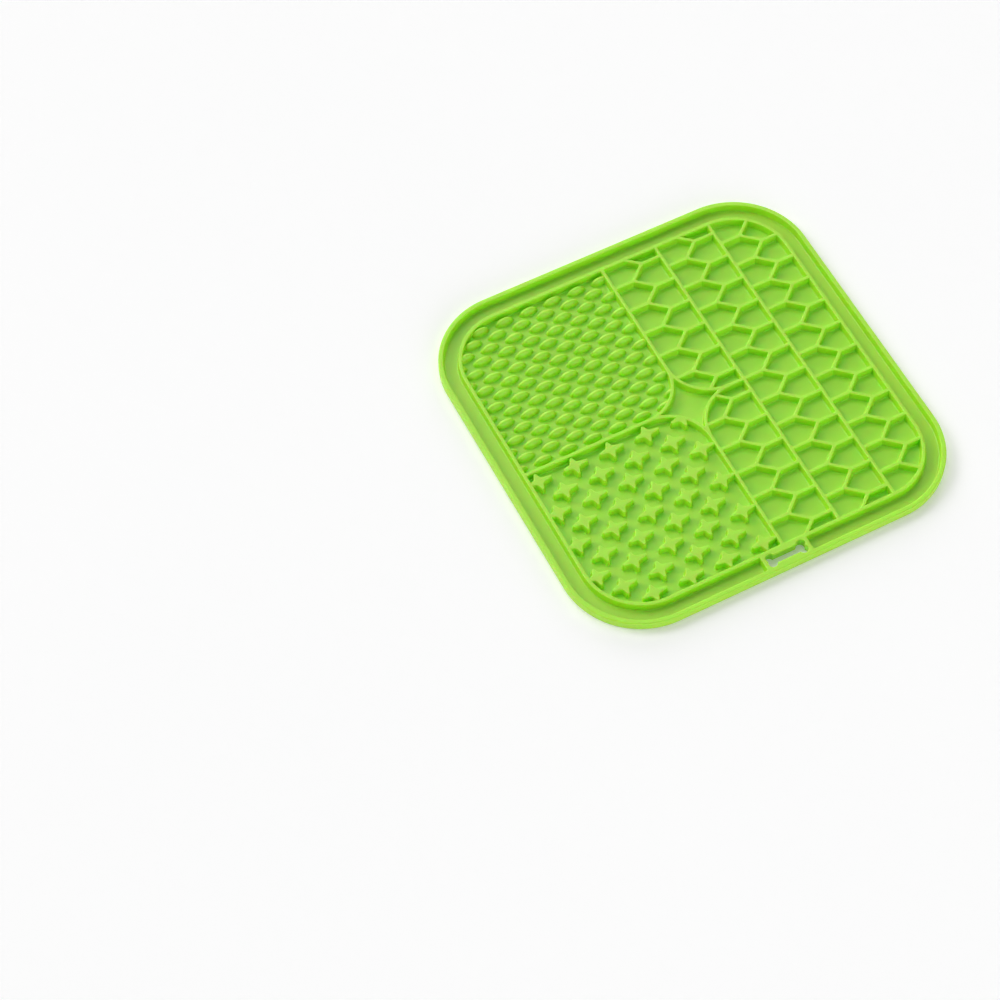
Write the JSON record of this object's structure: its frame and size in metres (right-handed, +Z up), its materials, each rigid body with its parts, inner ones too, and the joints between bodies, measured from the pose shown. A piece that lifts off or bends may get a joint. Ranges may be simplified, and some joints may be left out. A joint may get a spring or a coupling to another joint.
{
  "type": "lick mat",
  "caption": "Square moulded silicone lick mat with a raised rim and moat, a field of oval domes, a field of star studs, zigzag cell columns and a bone-shaped hanging hole.",
  "frame": {"origin": "middle of the underside", "axes": "+Z up out of the relief, +X towards the columns of zigzag cells, -Y towards the hanging hole"},
  "size_m": [0.2, 0.2, 0.0052],
  "materials": {
    "silicone": "semi-matte moulded lime green silicone"
  },
  "bodies": {
    "root": {"mat": "silicone", "hang_strip": "silicone"}
  },
  "joints": []
}
